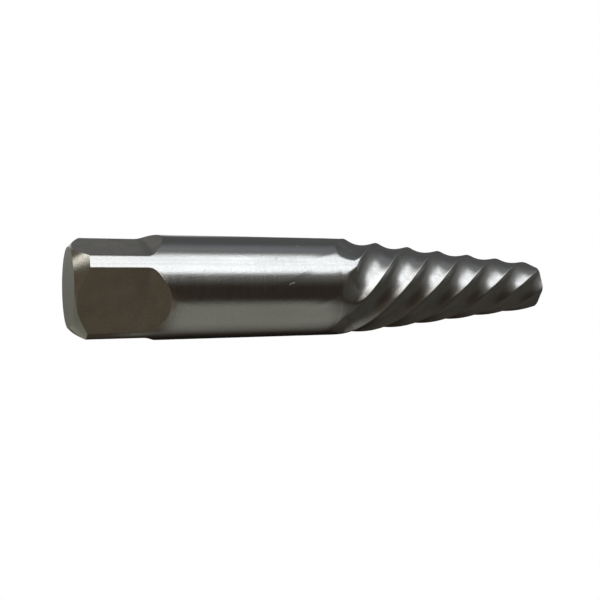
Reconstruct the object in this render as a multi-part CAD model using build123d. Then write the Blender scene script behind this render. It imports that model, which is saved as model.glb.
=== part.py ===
"""Spiral screw extractor: one bar of tool steel, turned, milled and fluted.

The tool stands on its drive end. The origin is the middle of the flat end
face, +Z runs along the axis to the tip, and the four drive flats face +X, -X,
+Y and -Y. All sizes are in millimetres.
"""
from build123d import *
import os
from math import atan, cos, pi, radians, sin, tan

# Turned blank: shank, tapered point and the broken edges at both ends
overall_length = 92.2
shank_diameter = 17.7
end_chamfer = 2.2
point_length = 43.0
tip_diameter = 9.4
tip_chamfer = 0.2

# Drive square, milled on the shank; each flat ends in a ramp with a rounded foot
flat_count = 4
across_flats = 13.95
flat_length = 12.1
flat_ramp_angle = 35.0
flat_foot_radius = 1.2

# Left-hand spiral flutes, milled down the taper
flute_count = 7
flute_lead = 48.2
flute_depth = 0.88
flute_depth_at_tip = 0.5
flute_lean = 0.1
crest_flat = 0.06
first_crest_angle = 228.0

# Run-out of each flute, where the mill climbs out of the shank
runout_start = 1.0
runout_slope = 0.16
runout_length = 4.2
runout_lead = 95.0

# How far the cutters reach past the metal, and how finely the flute's path is laid out
clear = 1.0
flute_station_gap = 4.0
runout_station_gap = 1.0
flute_overrun = 1.4
flute_steps = 4

shank_radius = shank_diameter / 2
tip_radius = tip_diameter / 2
point_start = overall_length - point_length
flute_pitch = 2 * pi / flute_count
flute_half_width = shank_radius * flute_pitch / 2
helix_angle = atan(2 * pi * shank_radius / flute_lead)


def cone_radius(z):
    """Radius of the ground taper; it goes on in a straight line past both its ends."""
    share = (z - point_start) / point_length
    return shank_radius + share * (tip_radius - shank_radius)


def blank():
    """Turned bar: chamfered drive end, round shank, tapered point, broken tip edge."""
    shoulder = overall_length - tip_chamfer
    profile = Polyline(
        (0, 0),
        (shank_radius - end_chamfer, 0),
        (shank_radius, end_chamfer),
        (shank_radius, point_start),
        (cone_radius(shoulder), shoulder),
        (cone_radius(shoulder) - tip_chamfer, overall_length),
        (0, overall_length),
        close=True,
    )
    return revolve(Plane.XZ * make_face(profile), Axis.Z)


def flat_cutter():
    """What the mill takes off for one drive flat: a slab that ends in a ramp, rounded at its foot."""
    floor = across_flats / 2
    outside = shank_radius + clear
    ramp_end = flat_length + (outside - floor) / tan(radians(flat_ramp_angle))
    outline = FilletPolyline(
        (floor, -clear),
        (floor, flat_length),
        (outside, ramp_end),
        radius=flat_foot_radius,
    )
    closing = Polyline(outline @ 1, (outside, -clear), outline @ 0)
    profile = Plane.XZ * make_face(outline + closing)
    return extrude(profile, shank_radius, both=True)


def first_crest(z):
    """Angle of the first crest; it turns backwards as it climbs, so the spiral is left hand."""
    return radians(first_crest_angle) - 2 * pi * z / flute_lead


def flute_middle(z):
    """Angle of the first flute's middle; in the run-out the flute straightens."""
    leave = point_start - runout_start
    if z >= leave:
        return first_crest(z) + flute_pitch / 2
    return first_crest(leave) + flute_pitch / 2 + 2 * pi * (leave - z) / runout_lead


def runout_skew(share):
    """How much further back along the axis one side of the mill is, as it climbs square to the flute."""
    return share * flute_half_width * sin(helix_angle) * cos(helix_angle)


def flute_floor(z, share):
    """Radius of the flute's surface; share runs from -1 to 1 between two crests.

    The hollow is a parabola between the crests, leaning towards one of them.
    In the run-out it rises towards the shank's surface.
    """
    along = min(1, max(0, (z - point_start) / point_length))
    depth = flute_depth + along * (flute_depth_at_tip - flute_depth)
    hollow = depth * (1 - share**2) * (1 - flute_lean * share)
    lift = runout_slope * max(0, point_start - runout_start - z + runout_skew(share))
    return cone_radius(z) + crest_flat - hollow + lift


def flute_section(z):
    """Section of the metal that one flute takes away, closed well outside the bar."""
    shares = [flute_overrun * (2 * i / flute_steps - 1) for i in range(flute_steps + 1)]
    middle = flute_middle(z)

    def point(share, radius):
        angle = middle + share * flute_pitch / 2
        return (radius * cos(angle), radius * sin(angle), z)

    hollow = Spline([point(share, flute_floor(z, share)) for share in shares])
    outside = shank_diameter
    left = point(shares[0], outside)
    right = point(shares[-1], outside)
    closing = Polyline(hollow @ 1, right, left, hollow @ 0)
    return make_face(hollow + closing)


def flute_cutter():
    """One flute's worth of metal, from just outside the shank to past the tip."""
    start = point_start - runout_start - runout_length
    full = point_start - runout_start + runout_skew(flute_overrun)
    end = overall_length + clear
    rising = round((full - start) / runout_station_gap)
    running = round((end - full) / flute_station_gap)
    stations = [start + (full - start) * i / rising for i in range(rising)]
    stations += [full + (end - full) * i / running for i in range(running + 1)]
    return loft([flute_section(z) for z in stations])


def extractor():
    """The finished tool, one piece of steel."""
    tool = blank()
    tool -= PolarLocations(0, flat_count) * flat_cutter()
    tool -= PolarLocations(0, flute_count) * flute_cutter()
    return tool


if __name__ == "__main__":
    os.makedirs("parts", exist_ok=True)
    tool = extractor()
    print(f"volume {tool.volume:.0f} mm3, {len(tool.solids())} solid, {len(tool.faces())} faces")
    export_step(tool, "parts/extractor.step")
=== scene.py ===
"""Looks of the spiral screw extractor: its finely meshed steel, the studio and the photo's camera."""

import logging
import math
from dataclasses import dataclass, field
from enum import Enum
from typing import Any

import bpy
import numpy as np
from mathutils import Matrix, Vector


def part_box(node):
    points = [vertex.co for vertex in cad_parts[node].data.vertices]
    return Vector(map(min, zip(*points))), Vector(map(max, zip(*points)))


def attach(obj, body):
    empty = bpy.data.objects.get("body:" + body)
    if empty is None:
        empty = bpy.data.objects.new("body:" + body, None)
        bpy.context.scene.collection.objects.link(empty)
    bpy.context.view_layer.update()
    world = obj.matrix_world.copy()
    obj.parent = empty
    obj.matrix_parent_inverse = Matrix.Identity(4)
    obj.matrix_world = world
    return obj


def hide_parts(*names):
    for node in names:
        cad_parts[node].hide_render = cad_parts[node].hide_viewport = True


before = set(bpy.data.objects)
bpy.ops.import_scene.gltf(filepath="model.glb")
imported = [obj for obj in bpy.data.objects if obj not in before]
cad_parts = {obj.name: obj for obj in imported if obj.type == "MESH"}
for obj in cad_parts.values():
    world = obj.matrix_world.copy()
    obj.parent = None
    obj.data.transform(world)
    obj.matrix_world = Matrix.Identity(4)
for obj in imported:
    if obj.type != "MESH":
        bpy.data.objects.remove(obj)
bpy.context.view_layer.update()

NODE = "extractor"
MM = 0.001
TURN = 2 * math.pi

log = logging.getLogger("extractor")
Array = np.ndarray


class Zone(Enum):
    """Which machining step left each part of the surface; the value is its material slot."""

    TURNED = 0
    MILLED = 1
    GROUND = 2
    FLUTED = 3


def linear(hex_colour: str) -> tuple[float, float, float, float]:
    """Turn an sRGB hex colour into the linear values that a shader takes.

    Args:
        hex_colour: Six hex digits, such as "8a8b8c".

    Returns:
        Linear red, green and blue, and an alpha of 1.
    """
    shares = [int(hex_colour[i:i + 2], 16) / 255 for i in (0, 2, 4)]
    red, green, blue = (s / 12.92 if s <= 0.04045 else ((s + 0.055) / 1.055) ** 2.4 for s in shares)
    return red, green, blue, 1.0


def add_node(tree: Any, kind: str, settings: dict[str | int, Any] | None = None,
             links: dict[str | int, Any] | None = None) -> Any:
    """Add one node to a tree, set it up and link its inputs.

    Args:
        tree: The node tree that gets the node.
        kind: Blender's type name of the node.
        settings: Attribute names or input names (or numbers) with the values they get.
        links: Input names or numbers with the output sockets that feed them.

    Returns:
        The new node.
    """
    node = tree.nodes.new(kind)
    for name, value in (settings or {}).items():
        if isinstance(name, str) and hasattr(node, name):
            setattr(node, name, value)
        else:
            node.inputs[name].default_value = value
    for name, socket in (links or {}).items():
        tree.links.new(socket, node.inputs[name])
    return node


def soft_box(tree: Any, sides: list[tuple[Any, Any, Any]]) -> Any:
    """Level that is 1 inside a box and fades out smoothly over its edges.

    Args:
        tree: The node tree.
        sides: For each direction its socket, its two edges and how far each edge is blurred both ways.

    Returns:
        Socket with the level.
    """
    level = None
    for value, edges, blurs in sides:
        for edge, blur, rises in zip(edges, blurs, (True, False)):
            step = add_node(tree, "ShaderNodeMapRange", {
                "interpolation_type": "SMOOTHSTEP", "From Min": edge - blur, "From Max": edge + blur,
                "To Min": 0.0 if rises else 1.0, "To Max": 1.0 if rises else 0.0}, {"Value": value})
            if level is None:
                level = step.outputs[0]
            else:
                level = add_node(tree, "ShaderNodeMath", {"operation": "MULTIPLY"},
                                 {0: level, 1: step.outputs[0]}).outputs[0]
    return level


def smooth_min(first: Array, second: Array, width: float) -> Array:
    """The smaller of two radii, with the corner between them rounded.

    Formula: -w ln(exp(-a/w) + exp(-b/w)), written from the smaller value so that it can't overflow.

    Args:
        first: One radius per point.
        second: The other radius per point.
        width: How soft the corner is, in millimetres.

    Returns:
        The rounded smaller radius per point.
    """
    low = np.minimum(first, second)
    gap = np.abs(first - second)
    return low - width * np.log1p(np.exp(-gap / width))


def spread(start: float, end: float, count: int, crowd_start: float = 0.0, crowd_end: float = 0.0) -> Array:
    """Values from start up to but not including end, crowded towards either end.

    Formula: start + (end - start) u^a (1 - (1 - u)^(1 + b)), with u in even steps from 0,
    a the crowding at the start and b the crowding at the end.

    Args:
        start: First value.
        end: The value that the next stretch starts with.
        count: How many values.
        crowd_start: 0 for even steps, more to crowd them towards the start.
        crowd_end: 0 for even steps, more to crowd them towards the end.

    Returns:
        The values.
    """
    u = np.arange(count) / count
    return start + (end - start) * u**crowd_start * (1 - (1 - u) ** (1 + crowd_end))


@dataclass
class ExtractorSteel:
    """The whole tool as one closed surface; every size is in millimetres.

    The surface is a radius for each angle and each row of a profile. Rows run
    from the middle of the drive end's face out to its rim, along the tool and
    into the middle of the tip. The columns follow the edges of the flats near
    the drive end and the crests of the flutes on the point, so that every
    sharp line of the real tool is a line of the mesh.

    The land left on a crest and the flutes' depth are 0.03 mm less than the
    solid's, which keeps the floor of each flute where it is and makes the
    crests as keen as the photo's. The foot of a flat's ramp is rounder than
    the solid's, so that it mirrors no hard line. From lands_start into the
    point, the lands that are left between two flutes have the flutes' finish.
    """

    length: float
    shank_radius: float
    end_chamfer: float = 2.2
    point_length: float = 43.0
    tip_radius: float = 4.7
    tip_chamfer: float = 0.2
    flat_count: int = 4
    across_flats: float = 13.95
    flat_length: float = 12.1
    flat_ramp_angle: float = 35.0
    flat_foot_radius: float = 2.6
    flute_count: int = 7
    flute_lead: float = 48.2
    flute_depth: float = 0.85
    flute_depth_at_tip: float = 0.47
    flute_lean: float = 0.1
    crest_flat: float = 0.03
    first_crest_angle: float = 228.0
    runout_start: float = 1.0
    runout_slope: float = 0.16
    runout_lead: float = 95.0
    lands_start: float = 2.5
    edge_break: float = 0.02
    sharp_angle: float = 22.0
    columns: int = 308
    least_share: float = 0.06
    flute_part: float = 0.86
    flat_part: float = 0.70
    crowding: float = 0.8
    halvings: int = 30
    flutes_past_ramp: float = 1.0
    runout_rows_end: float = 1.0
    rows: dict[str, int] = field(default_factory=lambda: {
        "end face": 6, "chamfer": 16, "square": 14, "ramp": 40, "shank": 22,
        "run-out": 56, "point": 92, "tip": 3, "tip face": 5})

    @property
    def point_start(self) -> float:
        """Where the taper begins, from the drive end."""
        return self.length - self.point_length

    @property
    def skew(self) -> float:
        """How much further back one side of the mill is than its middle, climbing square to the flute."""
        helix = math.atan(TURN * self.shank_radius / self.flute_lead)
        half_width = self.shank_radius * TURN / self.flute_count / 2
        return half_width * math.sin(helix) * math.cos(helix)

    @property
    def nose(self) -> float:
        """Where the flutes' run-outs begin: their floor has risen to the shank's surface there."""
        shank = np.array(0.0)
        share = self.deepest_share(shank)
        taper = (self.shank_radius - self.tip_radius) / self.point_length
        left = self.hollow(shank, share) - self.crest_flat - self.runout_start * taper
        start = self.point_start - self.runout_start
        return float(start - (left - self.runout_slope * self.skew * share) / (self.runout_slope + taper))

    @property
    def ramp_end(self) -> float:
        """Where a flat's ramp reaches the shank's surface, at the middle of the flat."""
        rise = self.shank_radius - self.across_flats / 2
        return self.flat_length + rise / math.tan(math.radians(self.flat_ramp_angle))

    def cone_radius(self, z: Array) -> Array:
        """Radius of the ground taper, carried on in a straight line past both ends."""
        share = (z - self.point_start) / self.point_length
        return self.shank_radius + share * (self.tip_radius - self.shank_radius)

    def turned_radius(self, z: Array) -> Array:
        """Radius of the turned blank: the smallest of chamfer, shank, taper and tip chamfer."""
        shoulder = self.length - self.tip_chamfer
        radii = np.minimum(self.shank_radius, self.cone_radius(z))
        radii = np.minimum(radii, self.shank_radius - self.end_chamfer + z)
        return np.minimum(radii, self.cone_radius(shoulder) - (z - shoulder))

    def heights(self) -> Array:
        """Height of each row, from the end face's rim to the tip's rim."""
        n = self.rows
        foot = self.flat_length - self.flat_foot_radius
        runout_end = self.point_start + self.runout_rows_end
        shoulder = self.length - self.tip_chamfer
        return np.concatenate([
            spread(0, self.end_chamfer, n["chamfer"]),
            spread(self.end_chamfer, foot, n["square"]),
            spread(foot, self.ramp_end, n["ramp"], crowd_end=self.crowding),
            spread(self.ramp_end, self.nose, n["shank"]),
            spread(self.nose, runout_end, n["run-out"], crowd_start=self.crowding),
            spread(runout_end, shoulder, n["point"]),
            spread(shoulder, self.length, n["tip"]),
            [self.length],
        ])

    def flat_distance(self, z: Array) -> Array:
        """Distance of a flat's floor from the axis: level, then a round foot, then a straight ramp."""
        slope = math.radians(self.flat_ramp_angle)
        reach = self.flat_foot_radius * math.tan(slope / 2)
        along = np.clip(z - self.flat_length + reach, 0, self.flat_foot_radius * math.sin(slope))
        foot = self.flat_foot_radius - np.sqrt(self.flat_foot_radius**2 - along**2)
        ramp = np.maximum(0, z - self.flat_length) * math.tan(slope)
        on_ramp = z - self.flat_length > reach * math.cos(slope)
        return self.across_flats / 2 + np.where(on_ramp, ramp, foot)

    def hollow(self, z: Array, share: Array) -> Array:
        """Depth of a flute below its crests: a parabola between them that leans to one side."""
        along = np.clip((z - self.point_start) / self.point_length, 0, 1)
        depth = self.flute_depth + along * (self.flute_depth_at_tip - self.flute_depth)
        return depth * (1 - share**2) * (1 - self.flute_lean * share)

    def deepest_share(self, z: Array) -> Array:
        """Where a flute is deepest; in the run-out that moves to the side that the mill leaves last.

        Formula: the hollow's slope -(2 s + a) d set against the run-out's slope across
        the flute, with s the share, a the lean and d the depth; the small term 3 a s^2 is left out.
        """
        across = self.runout_slope * self.skew / self.flute_depth
        rising = z < self.point_start - self.runout_start
        return -(self.flute_lean + np.where(rising, across, 0)) / 2

    def flute_floor(self, z: Array, share: Array) -> Array:
        """Radius of a flute's surface; share runs from -1 to 1 between two crests."""
        back = self.point_start - self.runout_start - z + self.skew * share
        lift = self.runout_slope * np.maximum(0, back)
        return self.cone_radius(z) + self.crest_flat - self.hollow(z, share) + lift

    def flute_middle(self, z: Array) -> Array:
        """Angle of the first flute's middle: a left-hand helix that straightens in the run-out."""
        pitch = TURN / self.flute_count
        leave = self.point_start - self.runout_start
        first = math.radians(self.first_crest_angle) + pitch / 2
        helix = first - TURN * np.maximum(z, leave) / self.flute_lead
        return helix + TURN * np.maximum(0, leave - z) / self.runout_lead

    def flute_share(self, angle: Array, z: Array) -> Array:
        """Where an angle lies across its nearest flute, from -1 to 1."""
        pitch = TURN / self.flute_count
        return ((angle - self.flute_middle(z) + pitch / 2) % pitch - pitch / 2) / (pitch / 2)

    def radius(self, angle: Array, z: Array) -> tuple[Array, Array]:
        """Radius of the finished tool and the zone of each point.

        Formula: the smallest of the turned radius, the flat's distance over the
        cosine of the angle from its middle, and the flute's surface. On the
        square, where the flutes don't reach, their surface is moved outside.

        Args:
            angle: Angle of each point round the axis.
            z: Height of each point.

        Returns:
            The finished radius and the zone's number of each point.
        """
        turned = self.turned_radius(z)
        quarter = TURN / self.flat_count
        from_flat = (angle + quarter / 2) % quarter - quarter / 2
        flat = self.flat_distance(z) / np.cos(from_flat)
        flute = self.flute_floor(z, self.flute_share(angle, z))
        flute = np.where(z < self.ramp_end + self.flutes_past_ramp, flute + self.shank_radius, flute)
        finished = smooth_min(smooth_min(turned, flat, self.edge_break), flute, self.edge_break)
        zone = np.where(z < self.end_chamfer, Zone.TURNED.value, Zone.GROUND.value)
        zone = np.where(flat < turned, Zone.MILLED.value, zone)
        fluted = (flute < turned) | (z > self.point_start + self.lands_start)
        return finished, np.where(fluted, Zone.FLUTED.value, zone)

    def edge_shares(self, z: Array) -> tuple[Array, Array]:
        """Where each row's flute meets the round surface, as shares on both sides of its middle.

        Formula: halving the step towards the share at which the flute's surface
        reaches the turned radius, from the hollow's deepest point outwards.

        Args:
            z: Height of each row.

        Returns:
            The lower and the upper share of each row.
        """
        turned = self.turned_radius(z)
        deepest = self.deepest_share(z)
        ends = []
        for side in (-1.0, 1.0):
            near, far = deepest, np.full(z.shape, side)
            for _ in range(self.halvings):
                middle = (near + far) / 2
                inside = self.flute_floor(z, middle) < turned
                near, far = np.where(inside, middle, near), np.where(inside, far, middle)
            ends.append((near + far) / 2)
        low = np.minimum(ends[0], deepest - self.least_share)
        high = np.maximum(ends[1], deepest + self.least_share)
        return low, high

    def flute_columns(self, z: Array) -> Array:
        """Angles of each row's columns when they follow the flutes' edges.

        Args:
            z: Height of each row.

        Returns:
            One angle per row and column.
        """
        pitch = TURN / self.flute_count
        low, high = self.edge_shares(z)
        per_flute = self.columns // self.flute_count
        in_flute = round(per_flute * self.flute_part)
        across = np.arange(in_flute) / in_flute
        beside = np.arange(per_flute - in_flute) / (per_flute - in_flute)
        shares = np.concatenate([
            low[:, None] + (high - low)[:, None] * across,
            high[:, None] + (2 + low - high)[:, None] * beside,
        ], axis=1)
        one = self.flute_middle(z)[:, None] + shares * pitch / 2
        return (one[:, None, :] + pitch * np.arange(self.flute_count)[None, :, None]).reshape(len(z), -1)

    def flat_columns(self, z: Array) -> Array:
        """Angles of each row's columns when they follow the flats' edges.

        Args:
            z: Height of each row.

        Returns:
            One angle per row and column.
        """
        quarter = TURN / self.flat_count
        ratio = np.clip(self.flat_distance(z) / self.turned_radius(z), 0, 1)
        half = np.maximum(np.arccos(ratio), self.least_share * quarter / 2)
        per_flat = self.columns // self.flat_count
        in_flat = round(per_flat * self.flat_part)
        across = 2 * np.arange(in_flat) / in_flat - 1
        beside = np.arange(per_flat - in_flat) / (per_flat - in_flat)
        one = np.concatenate([
            half[:, None] * across,
            half[:, None] + (quarter - 2 * half)[:, None] * beside,
        ], axis=1)
        return (one[:, None, :] + quarter * np.arange(self.flat_count)[None, :, None]).reshape(len(z), -1)

    def angles(self, z: Array) -> Array:
        """Angle of every point: along the shank the flats' columns pass smoothly into the flutes'.

        Formula: f (1 - s) + g s, with f the flats' angles, turned to start
        with the column that lies nearest, g the flutes' angles, and
        s = u^2 (3 - 2 u) over the plain shank.

        Args:
            z: Height of each row.

        Returns:
            One angle per row and column.
        """
        u =np.clip((z - self.ramp_end) / (self.nose - self.ramp_end), 0, 1)
        blend = (u * u * (3 - 2 * u))[:, None]
        by_flat, by_flute = self.flat_columns(z), self.flute_columns(z)
        at_nose = np.argmin(np.abs(z - self.nose))
        turn = round(float((by_flute[at_nose] - by_flat[at_nose]).mean()) / TURN * self.columns)
        by_flat = np.unwrap(np.roll(by_flat, -turn, axis=1), axis=1)
        by_flat += TURN * round(float((by_flute[at_nose] - by_flat[at_nose]).mean()) / TURN)
        return by_flat * (1 - blend) + by_flute * blend

    def surface(self) -> tuple[Array, Array]:
        """Work out the whole grid: the rows along the tool, and the two end faces as shrinking rims.

        Formula: x = r cos a, y = r sin a, with r the finished radius and a the angle.

        Returns:
            The points (row, column, 3) in millimetres, and each point's zone.
        """
        heights = self.heights()
        angle = self.angles(heights)
        z = np.broadcast_to(heights[:, None], angle.shape)
        finished, zone = self.radius(angle, z)
        n = self.rows
        inner = np.arange(1, n["end face"])[:, None] / n["end face"]
        outer = np.arange(n["tip face"] - 1, 0, -1)[:, None] / n["tip face"]
        finished = np.concatenate([finished[:1] * inner, finished, finished[-1:] * outer])
        ends = ((len(inner), len(outer)), (0, 0))
        angle = np.pad(angle, ends, mode="edge")
        z = np.pad(z, ends, mode="edge")
        zone = np.pad(zone, ends, constant_values=Zone.TURNED.value)
        return np.stack([finished * np.cos(angle), finished * np.sin(angle), z], axis=-1), zone

    def build(self) -> bpy.types.Object:
        """Make the closed mesh: the grid, and a fan of triangles at the middle of each end face."""
        points, zone = self.surface()
        row_count, column_count = zone.shape
        index = np.arange(row_count * column_count).reshape(row_count, column_count)
        right = np.roll(index, -1, axis=1)
        quads = np.stack([index[:-1], right[:-1], right[1:], index[1:]], axis=-1).reshape(-1, 4)
        first, last = row_count * column_count, row_count * column_count + 1
        start_fan = np.stack([right[0], index[0], np.full(column_count, first)], axis=-1)
        end_fan = np.stack([index[-1], right[-1], np.full(column_count, last)], axis=-1)
        vertices = np.concatenate([points.reshape(-1, 3), [[0, 0, 0], [0, 0, self.length]]]) * MM
        mesh = bpy.data.meshes.new("extractor_steel")
        mesh.from_pydata(vertices.tolist(), [], quads.tolist() + start_fan.tolist() + end_fan.tolist())
        quad_zone = zone.reshape(-1)[quads].min(axis=1)
        slots = np.concatenate([quad_zone, np.full(2 * column_count, Zone.TURNED.value)]).astype(np.int32)
        mesh.polygons.foreach_set("material_index", slots)
        mesh.polygons.foreach_set("use_smooth", np.ones(len(slots), dtype=bool))
        mesh.validate()
        mesh.update()
        mesh.set_sharp_from_angle(angle=math.radians(self.sharp_angle))
        piece = bpy.data.objects.new("extractor_steel", mesh)
        bpy.context.scene.collection.objects.link(piece)
        return piece

    def dress(self, piece: bpy.types.Object) -> None:
        """Give each zone of the surface its finish, in the order of the zones' slots.

        Args:
            piece: The object that build made.
        """
        finishes = {
            # Turned end face and chamfer: fine rings that spread each light a little, with worn patches.
            Zone.TURNED: SteelFinish(
                "turned tool steel", "d2d1ce", "c0bfb9", 0.23, Lay.ROUND_AXIS,
                grain=0.3, grain_height=10.0, mark_gap=0.3, mark_height=3.0),
            # Milled flats: the dullest steel, a brownish satin that mirrors only a blur of the room.
            Zone.MILLED: SteelFinish(
                "milled tool steel", "c8c3bf", "b4b3ac", 0.32, Lay.ACROSS_FLAT,
                grain=0.35, grain_height=5.0, mark_gap=0.3, mark_height=3.0),
            # Ground shank: the brightest steel, where a light stretches along the axis in one clean band.
            Zone.GROUND: SteelFinish(
                "ground tool steel", "dbdbda", "d0d0cf", 0.18, Lay.ROUND_AXIS,
                grain=0.25, grain_height=11.0, mark_gap=0.25, mark_height=0.3,
                anisotropy=0.7, cloud_stretch=0.25),
            # Form-milled flutes: a soft sheen with a coarse grain, so a hollow fades slowly into the dark.
            Zone.FLUTED: SteelFinish(
                "fluted tool steel", "dededd", "c8c7c5", 0.22, Lay.ALONG_FLUTE,
                grain=0.25, grain_height=14.0, mark_gap=0.4, mark_height=3.0, flute_lead=self.flute_lead),
        }
        for zone in Zone:
            piece.data.materials.append(finishes[zone].material())


class Lay(Enum):
    """Which way the marks of the tool run over the steel."""

    ROUND_AXIS = "rings round the axis, as turning and grinding leave them"
    ACROSS_FLAT = "lines square to the axis, as the end mill leaves them"
    ALONG_FLUTE = "lines down the spiral, as the form mill leaves them"


@dataclass(frozen=True)
class SteelFinish:
    """A finish of bare tool steel: what the cutter left behind, and how it catches light.

    Sizes are in millimetres and heights in thousandths of one. The marks of
    turning, milling and grinding are finer than the picture can show, so they
    are drawn about three times as coarse as the real ones. The stain range
    and the wear range are the stretches of the added patterns over which the
    colour and the roughness run from one end to the other.
    """

    name: str
    colour: str
    stain: str
    roughness: float
    lay: Lay
    grain: float
    grain_height: float
    mark_gap: float
    mark_height: float
    cloud: float = 2.6
    cloud_stretch: float = 1.0
    stain_range: tuple[float, float] = (0.75, 1.25)
    wear_range: tuple[float, float] = (0.7, 1.3)
    roughness_spread: float = 0.05
    anisotropy: float = 0.0
    anisotropy_turn: float = 0.25
    mark_stretch: float = 0.05
    mark_detail: float = 3.0
    grain_detail: float = 2.0
    cloud_detail: float = 4.0
    pit_gap: float = 3.4
    pit_radius: float = 0.11
    scratch_gap: float = 8.0
    scratch_width: float = 0.05
    scratch_bend: float = 9.0
    scratch_patches: float = 2.0
    scratch_shown: tuple[float, float] = (0.61, 0.65)
    scar_height: float = 10.0
    flute_lead: float = math.inf

    def position(self, tree: Any) -> Any:
        """The point on the tool in millimetres."""
        place = add_node(tree, "ShaderNodeTexCoord")
        return add_node(tree, "ShaderNodeVectorMath", {"operation": "SCALE", "Scale": 1 / MM},
                        {0: place.outputs["Object"]}).outputs[0]

    def mark_position(self, tree: Any, position: Any) -> Any:
        """Where the marks are read: squeezed along the marks, so that each is long and thin.

        Formula: for rings and lines, x and y shrunk, and z (for rings, z plus the
        distance from the axis, so that they also lie on the end face). For the
        flutes, the point turned back by the spiral's angle at its height, and z shrunk.

        Args:
            tree: The material's node tree.
            position: Socket with the point in millimetres.

        Returns:
            Socket with the pattern's own position.
        """
        split = add_node(tree, "ShaderNodeSeparateXYZ", links={0: position})
        if self.lay is Lay.ALONG_FLUTE:
            angle = add_node(tree, "ShaderNodeMath", {"operation": "MULTIPLY", 1: TURN / self.flute_lead},
                             {0: split.outputs["Z"]})
            straight = add_node(tree, "ShaderNodeVectorRotate", {"rotation_type": "Z_AXIS"},
                                {"Vector": position, "Angle": angle.outputs[0]})
            shrink = (1, 1, self.mark_stretch)
            return add_node(tree, "ShaderNodeVectorMath", {"operation": "MULTIPLY", 1: shrink},
                            {0: straight.outputs[0]}).outputs[0]
        squeeze = (self.mark_stretch, self.mark_stretch, 1)
        lines = add_node(tree, "ShaderNodeVectorMath", {"operation": "MULTIPLY", 1: squeeze}, {0: position})
        if self.lay is Lay.ACROSS_FLAT:
            return lines.outputs[0]
        flat = add_node(tree, "ShaderNodeVectorMath", {"operation": "MULTIPLY", 1: (1, 1, 0)},
                        {0: position})
        out = add_node(tree, "ShaderNodeVectorMath", {"operation": "LENGTH"}, {0: flat.outputs[0]})
        rise = add_node(tree, "ShaderNodeCombineXYZ", links={"Z": out.outputs["Value"]})
        return add_node(tree, "ShaderNodeVectorMath", {"operation": "ADD"},
                        {0: lines.outputs[0], 1: rise.outputs[0]}).outputs[0]

    def scars(self, tree: Any, position: Any) -> Any:
        """Handling marks: a few pits, and hairline scratches that come and go.

        Formula: a pit is where a cell's middle lies within the pit's radius. A
        scratch is where the wall between two warped cells lies within its
        width, kept only where a cloudy pattern is high.

        Args:
            tree: The material's node tree.
            position: Socket with the point in millimetres.

        Returns:
            Socket that is 1 in a pit or scratch and 0 elsewhere.
        """
        pit = add_node(tree, "ShaderNodeTexVoronoi", {"Scale": 1 / self.pit_gap}, {"Vector": position})
        reach = self.pit_radius / self.pit_gap
        hole = add_node(tree, "ShaderNodeMapRange", {"From Min": reach, "From Max": reach / 2},
                        {"Value": pit.outputs["Distance"]})
        bend = add_node(tree, "ShaderNodeTexNoise", {"Scale": 1 / self.scratch_gap}, {"Vector": position})
        shift = (self.scratch_bend,) * 3
        warped = add_node(tree, "ShaderNodeVectorMath", {"operation": "MULTIPLY_ADD", 1: shift},
                          {0: bend.outputs["Color"], 2: position})
        wall = add_node(tree, "ShaderNodeTexVoronoi", {
            "feature": "DISTANCE_TO_EDGE", "Scale": 1 / self.scratch_gap}, {"Vector": warped.outputs[0]})
        width = self.scratch_width / self.scratch_gap
        line = add_node(tree, "ShaderNodeMapRange", {"From Min": width, "From Max": 0.0},
                        {"Value": wall.outputs["Distance"]})
        patches = add_node(tree, "ShaderNodeTexNoise", {"Scale": 1 / self.scratch_patches},
                           {"Vector": position})
        faint, clear = self.scratch_shown
        shown = add_node(tree, "ShaderNodeMapRange", {"From Min": faint, "From Max": clear},
                         {"Value": patches.outputs[0]})
        scratch = add_node(tree, "ShaderNodeMath", {"operation": "MULTIPLY"},
                           {0: line.outputs[0], 1: shown.outputs[0]})
        return add_node(tree, "ShaderNodeMath", {"operation": "MAXIMUM"},
                        {0: hole.outputs[0], 1: scratch.outputs[0]}).outputs[0]

    def relief(self, tree: Any, parts: list[tuple[Any, float]]) -> Any:
        """Bump from several patterns, each with its own height in thousandths of a millimetre.

        Args:
            tree: The material's node tree.
            parts: Each pattern's socket and height; a height below 0 cuts into the steel.

        Returns:
            Socket with the surface's bumped normal.
        """
        height = None
        for socket, depth in parts:
            below = {} if height is None else {2: height}
            height = add_node(tree, "ShaderNodeMath", {"operation": "MULTIPLY_ADD", 1: depth, 2: 0.0},
                              {0: socket, **below}).outputs[0]
        return add_node(tree, "ShaderNodeBump", {"Strength": 1.0, "Distance": MM / 1000},
                        {"Height": height}).outputs[0]

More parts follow.
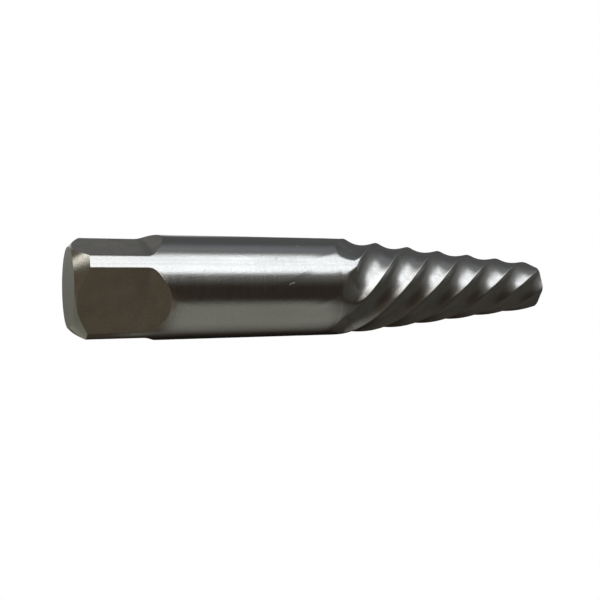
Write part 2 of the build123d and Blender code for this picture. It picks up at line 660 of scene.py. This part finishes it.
    def material(self) -> bpy.types.Material:
        """Make the material: stained colour, uneven roughness and the relief of grain, marks and scars."""
        made = bpy.data.materials.new(self.name)
        made.use_nodes = True
        tree = made.node_tree
        tree.nodes.clear()
        position = self.position(tree)
        drawn = add_node(tree, "ShaderNodeVectorMath", {
            "operation": "MULTIPLY", 1: (1, 1, self.cloud_stretch)}, {0: position})
        patterns = [
            add_node(tree, "ShaderNodeTexNoise", {"Scale": 1 / size, "Detail": detail}, {"Vector": where})
            for where, size, detail in (
                (self.mark_position(tree, position), self.mark_gap, self.mark_detail),
                (position, self.grain, self.grain_detail),
                (drawn.outputs[0], self.cloud, self.cloud_detail))]
        marks, grain, cloud = (pattern.outputs[0] for pattern in patterns)
        scars = self.scars(tree, position)
        speckle = add_node(tree, "ShaderNodeMath", {"operation": "ADD"}, {0: grain, 1: cloud})
        clean, stained = self.stain_range
        share = add_node(tree, "ShaderNodeMapRange", {"From Min": clean, "From Max": stained},
                         {"Value": speckle.outputs[0]})
        colour = add_node(tree, "ShaderNodeMix", {
            "data_type": "RGBA", 6: linear(self.colour), 7: linear(self.stain)}, {0: share.outputs[0]})
        uneven = add_node(tree, "ShaderNodeMath", {"operation": "ADD"}, {0: marks, 1: cloud})
        smooth, worn = self.wear_range
        roughness = add_node(tree, "ShaderNodeMapRange", {
            "From Min": smooth, "From Max": worn, "To Min": self.roughness - self.roughness_spread,
            "To Max": self.roughness + self.roughness_spread}, {"Value": uneven.outputs[0]})
        normal = self.relief(tree, [
            (grain, self.grain_height), (marks, self.mark_height), (scars, -self.scar_height)])
        shader = add_node(tree, "ShaderNodeBsdfPrincipled", {
            "Metallic": 1.0, "Anisotropic": self.anisotropy, "Anisotropic Rotation": self.anisotropy_turn},
            {"Base Color": colour.outputs[2], "Roughness": roughness.outputs[0], "Normal": normal})
        if self.anisotropy:
            tangent = add_node(tree, "ShaderNodeTangent", {"direction_type": "RADIAL", "axis": "Z"})
            tree.links.new(tangent.outputs[0], shader.inputs["Tangent"])
        add_node(tree, "ShaderNodeOutputMaterial", links={"Surface": shader.outputs[0]})
        return made


@dataclass(frozen=True)
class Panel:
    """One thing in the room that the steel mirrors: a patch of direction, in degrees, with soft edges.

    Azimuth 0 is along +X and 90 along +Y; elevation 0 is level and 90 straight up.
    The slant is how far the patch moves round for each degree that it climbs.
    """

    name: str
    azimuth: tuple[float, float]
    elevation: tuple[float, float]
    colour: tuple[float, float, float]
    azimuth_blur: tuple[float, float] = (4.0, 4.0)
    elevation_blur: tuple[float, float] = (5.0, 5.0)
    slant: float = 0.0

    def paint(self, tree: Any, azimuth: Any, elevation: Any, under: Any) -> Any:
        """Lay this panel over what is already there.

        Args:
            tree: The world's node tree.
            azimuth: Socket with the direction's azimuth.
            elevation: Socket with the direction's elevation.
            under: Socket with the colour so far.

        Returns:
            Socket with the new colour.
        """
        reach = (self.azimuth[1] - self.azimuth[0]) / 2
        middle = (self.azimuth[0] + self.azimuth[1]) / 2 - self.slant * sum(self.elevation) / 2
        centre = add_node(tree, "ShaderNodeMath", {"operation": "MULTIPLY_ADD", 1: self.slant, 2: middle},
                          {0: elevation})
        away = add_node(tree, "ShaderNodeMath", {"operation": "SUBTRACT"},
                        {0: azimuth, 1: centre.outputs[0]})
        turned = add_node(tree, "ShaderNodeMath", {"operation": "WRAP", 1: 180.0, 2: -180.0},
                          {0: away.outputs[0]})
        level = soft_box(tree, [
            (turned.outputs[0], (-reach, reach), self.azimuth_blur),
            (elevation, self.elevation, self.elevation_blur)])
        return add_node(tree, "ShaderNodeMix", {"data_type": "RGBA", 7: (*self.colour, 1)},
                        {0: level, 6: under}).outputs[2]


@dataclass(frozen=True)
class Card:
    """A dim card that stands close beside the tool, where only the steel sees it.

    The lower half of the shank mirrors grey and the front flat brown, while
    the flutes beyond them stay dark, which a panel far away in the room can't
    do. Sizes are in millimetres; the card faces the axis from one azimuth.
    """

    name: str
    across: tuple[float, float]
    height: tuple[float, float]
    colour: tuple[float, float, float]
    across_blur: tuple[float, float] = (5.5, 6.0)
    height_blur: tuple[float, float] = (1.5, 3.0)
    distance: float = 22.0
    azimuth: float = 322.0

    def build(self) -> bpy.types.Object:
        """Make the card: a rectangle that glows dimly and fades out towards its edges."""
        turn = math.radians(self.azimuth)
        out = np.array([math.cos(turn), math.sin(turn)])
        side = np.array([-math.sin(turn), math.cos(turn)])
        left, right = self.across[0] - self.across_blur[0], self.across[1] + self.across_blur[1]
        low, high = self.height[0] - self.height_blur[0], self.height[1] + self.height_blur[1]
        corners = [
            (*(out * self.distance + side * u) * MM, z * MM)
            for u, z in ((left, low), (right, low), (right, high), (left, high))]
        mesh = bpy.data.meshes.new(self.name)
        mesh.from_pydata(corners, [], [(0, 1, 2, 3)])
        made = bpy.data.objects.new(self.name, mesh)
        bpy.context.scene.collection.objects.link(made)
        made.visible_camera = made.visible_diffuse = made.visible_shadow = False
        mesh.materials.append(self.glow(side))
        return made

    def glow(self, side: Array) -> bpy.types.Material:
        """Matt card, dimly lit: even light without a highlight, see-through past its soft edges.

        Args:
            side: The level direction along the card, x and y.

        Returns:
            The card's material.
        """
        paint = bpy.data.materials.new(self.name.replace("_", " "))
        paint.use_nodes = True
        tree = paint.node_tree
        tree.nodes.clear()
        place = add_node(tree, "ShaderNodeTexCoord")
        split = add_node(tree, "ShaderNodeSeparateXYZ", links={0: place.outputs["Object"]})
        along = add_node(tree, "ShaderNodeVectorMath", {"operation": "DOT_PRODUCT", 1: (*side, 0)},
                         {0: place.outputs["Object"]})
        level = soft_box(tree, [
            (along.outputs["Value"], [v * MM for v in self.across], [v * MM for v in self.across_blur]),
            (split.outputs["Z"], [v * MM for v in self.height], [v * MM for v in self.height_blur])])
        clear = add_node(tree, "ShaderNodeBsdfTransparent")
        light = add_node(tree, "ShaderNodeEmission", {"Color": (*self.colour, 1), "Strength": 1.0})
        mix = add_node(tree, "ShaderNodeMixShader", links={
            0: level, 1: clear.outputs[0], 2: light.outputs[0]})
        add_node(tree, "ShaderNodeOutputMaterial", links={"Surface": mix.outputs[0]})
        return paint


@dataclass
class Studio:
    """The camera of the photo, the floor and the light round the tool.

    Bare steel shows only what it mirrors, so the panels give it a dim room
    to mirror. What each panel stands for is a guess. Twelve of them (all but
    the skylight, the mullions, the passage and the three pale ones after the
    floor glow) and the room's own colour began as values that a scratch
    program fitted to the colours of the photo's steel. They were rounded, and
    seven of the twelve were then changed. The camera's place was fitted to
    the photo too. A panel lies over the ones before it, and the cards stand
    in front of them all. Places and sizes here are in metres, as in the
    scene.
    """

    camera_place: tuple[float, float, float] = (-0.04119, -0.13242, -0.02023)
    camera_aim: tuple[float, float, float] = (0.002276, -0.000751, 0.040895)
    camera_roll: float = 89.33
    camera_clip: tuple[float, float] = (0.005, 20)
    lens: float = 50.23
    floor_size: float = 3.0
    floor_gap: float = 0.00001
    room: tuple[float, float, float] = (0.029, 0.022, 0.017)
    panels: tuple[Panel, ...] = (
        Panel("table", (-200, 200), (-90, 4), (0.115, 0.097, 0.069), elevation_blur=(1, 14)),
        Panel("ceiling", (-200, 200), (37, 90), (0.056, 0.053, 0.045), elevation_blur=(4, 1)),
        Panel("skylight", (-200, 200), (82, 90), (0.5, 0.52, 0.54), elevation_blur=(5, 1)),
        Panel("grey wall", (89, 177), (-18, 75), (0.096, 0.097, 0.097), (10, 5), (10, 10), slant=0.85),
        Panel("pale wall", (149, 168), (-7, 38), (0.192, 0.207, 0.226), (12, 6), (10, 8), slant=-0.25),
        Panel("shaded wall", (58, 92), (-2, 54), (0.09, 0.09, 0.09), (14, 5), (3, 20), slant=0.44),
        Panel("doorway", (81, 94), (-33, 18), (1.19, 1.21, 1.17), (10, 20), (10, 3), slant=-0.2),
        Panel("curtain", (164, 229), (-29, 60), (0.215, 0.215, 0.207), (24, 25), (6, 11), slant=0.12),
        Panel("window", (178, 222), (0, 35), (1.52, 1.56, 1.60), (9, 6), (25, 11), slant=-0.23),
        Panel("window sill", (173, 231), (-5, 6), (2.4, 2.36, 2.28), (16, 13), (12, 6), slant=1.0),
        Panel("mullion", (190, 192), (-10, 50), (0.9, 0.92, 0.95), (1, 1), (3, 3)),
        Panel("second mullion", (200, 202), (-10, 50), (0.9, 0.92, 0.95), (1, 1), (3, 3)),
        Panel("bench", (287, 360), (5, 50), (0.052, 0.048, 0.04), (12, 25), (6, 6)),
        Panel("passage", (28, 56), (6, 34), (0.008, 0.007, 0.006), (10, 8), (6, 8)),
        Panel("lamp", (136, 169), (-54, -40), (2.2, 2.16, 1.95), (3, 11), (12, 12), slant=0.33),
        Panel("floor glow", (-18, 79), (-78, -18), (0.195, 0.197, 0.162), (22, 17), (10, 12), slant=1.0),
        Panel("pale floor", (35, 75), (-30, -12), (0.31, 0.31, 0.255), (10, 8), (6, 5)),
        Panel("pale table edge", (238, 272), (-28, -14), (0.6, 0.6, 0.58), (8, 6), (4, 3)),
        Panel("pale side table", (126, 152), (-33, -19), (0.6, 0.6, 0.58), (6, 6), (5, 4)),
    )
    cards: tuple[Card, ...] = (
        Card("grey_card", (-18, 10.3), (19, 53), (0.215, 0.213, 0.184), (5.5, 12.5), (1.5, 2.5)),
        Card("side_card", (11, 22), (13, 18), (0.15, 0.148, 0.128), (4, 6), (2.5, 3), distance=24),
        Card("brown_card", (-40, 4), (-12, 19), (0.112, 0.095, 0.069), height_blur=(3, 1.5), distance=23),
    )

    def camera(self) -> bpy.types.Object:
        """Place the camera; it is rolled, because the photo shows the tool lying across the picture."""
        data = bpy.data.cameras.new("camera")
        data.lens = self.lens
        data.clip_start, data.clip_end = self.camera_clip
        made = bpy.data.objects.new("camera", data)
        bpy.context.scene.collection.objects.link(made)
        look = Vector(self.camera_aim) - Vector(self.camera_place)
        turn = look.to_track_quat("-Z", "Y").to_matrix().to_4x4()
        roll = Matrix.Rotation(math.radians(self.camera_roll), 4, "Z")
        made.matrix_world = Matrix.Translation(self.camera_place) @ turn @ roll
        bpy.context.scene.camera = made
        return made

    def floor(self) -> bpy.types.Object:
        """White floor just under the drive end.

        It is matt white paint, so the eye reads only the tool's soft shadow on
        it. It is see-through from below, where the photo's camera is, and to
        the steel, which mirrors the room instead.
        """
        half = self.floor_size / 2
        corners = [(-half, -half), (half, -half), (half, half), (-half, half)]
        mesh = bpy.data.meshes.new("floor")
        mesh.from_pydata([(x, y, -self.floor_gap) for x, y in corners], [], [(0, 1, 2, 3)])
        made = bpy.data.objects.new("floor", mesh)
        bpy.context.scene.collection.objects.link(made)
        paint = bpy.data.materials.new("white studio floor")
        paint.use_nodes = True
        tree = paint.node_tree
        tree.nodes.clear()
        white = add_node(tree, "ShaderNodeBsdfDiffuse", {"Color": linear("fdfdfd")})
        clear = add_node(tree, "ShaderNodeBsdfTransparent")
        side = add_node(tree, "ShaderNodeNewGeometry")
        ray = add_node(tree, "ShaderNodeLightPath")
        through = add_node(tree, "ShaderNodeMath", {"operation": "MAXIMUM"},
                           {0: side.outputs["Backfacing"], 1: ray.outputs["Is Glossy Ray"]})
        mix = add_node(tree, "ShaderNodeMixShader", links={
            0: through.outputs[0], 1: white.outputs[0], 2: clear.outputs[0]})
        add_node(tree, "ShaderNodeOutputMaterial", links={"Surface": mix.outputs[0]})
        mesh.materials.append(paint)
        return made

    def world(self) -> bpy.types.World:
        """Light from all round.

        The camera and the floor see a plain white of strength 1. Only the
        steel sees the room's panels: under an all-white room it would lose
        the dark and bright bands by which the eye knows it as steel.
        """
        made = bpy.data.worlds.new("studio")
        made.use_nodes = True
        tree = made.node_tree
        tree.nodes.clear()
        place = add_node(tree, "ShaderNodeTexCoord")
        split = add_node(tree, "ShaderNodeSeparateXYZ", links={0: place.outputs["Generated"]})
        angle = add_node(tree, "ShaderNodeMath", {"operation": "ARCTAN2"},
                         {0: split.outputs["Y"], 1: split.outputs["X"]})
        height = add_node(tree, "ShaderNodeMath", {"operation": "ARCSINE"}, {0: split.outputs["Z"]})
        azimuth = add_node(tree, "ShaderNodeMath", {"operation": "DEGREES"}, {0: angle.outputs[0]})
        elevation = add_node(tree, "ShaderNodeMath", {"operation": "DEGREES"}, {0: height.outputs[0]})
        seen = add_node(tree, "ShaderNodeRGB")
        seen.outputs[0].default_value = (*self.room, 1)
        colour = seen.outputs[0]
        for panel in self.panels:
            colour = panel.paint(tree, azimuth.outputs[0], elevation.outputs[0], colour)
        room = add_node(tree, "ShaderNodeBackground", {"Strength": 1.0}, {0: colour})
        white = add_node(tree, "ShaderNodeBackground", {"Color": (1, 1, 1, 1), "Strength": 1.0})
        ray = add_node(tree, "ShaderNodeLightPath")
        plain = add_node(tree, "ShaderNodeMath", {"operation": "MAXIMUM"},
                         {0: ray.outputs["Is Camera Ray"], 1: ray.outputs["Is Diffuse Ray"]})
        mix = add_node(tree, "ShaderNodeMixShader", links={
            0: plain.outputs[0], 1: room.outputs[0], 2: white.outputs[0]})
        add_node(tree, "ShaderNodeOutputWorld", links={"Surface": mix.outputs[0]})
        bpy.context.scene.world = made
        return made


def main() -> None:
    """Build the studio and the tool, and say what was made."""
    logging.basicConfig(level=logging.INFO, format="%(name)s: %(message)s")
    low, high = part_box(NODE)
    steel = ExtractorSteel(length=high[2] / MM, shank_radius=(high[0] - low[0]) / 2 / MM)
    piece = steel.build()
    steel.dress(piece)
    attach(piece, "root")
    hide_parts(NODE)
    log.info("extractor_steel: %d faces", len(piece.data.polygons))
    studio = Studio()
    studio.camera()
    studio.floor()
    for card in studio.cards:
        card.build()
    studio.world()
    log.info("studio: a floor, %d cards and %s", len(studio.cards), ", ".join(p.name for p in studio.panels))
    bpy.context.scene.view_settings.view_transform = "Standard"


if __name__ == "__main__":
    main()
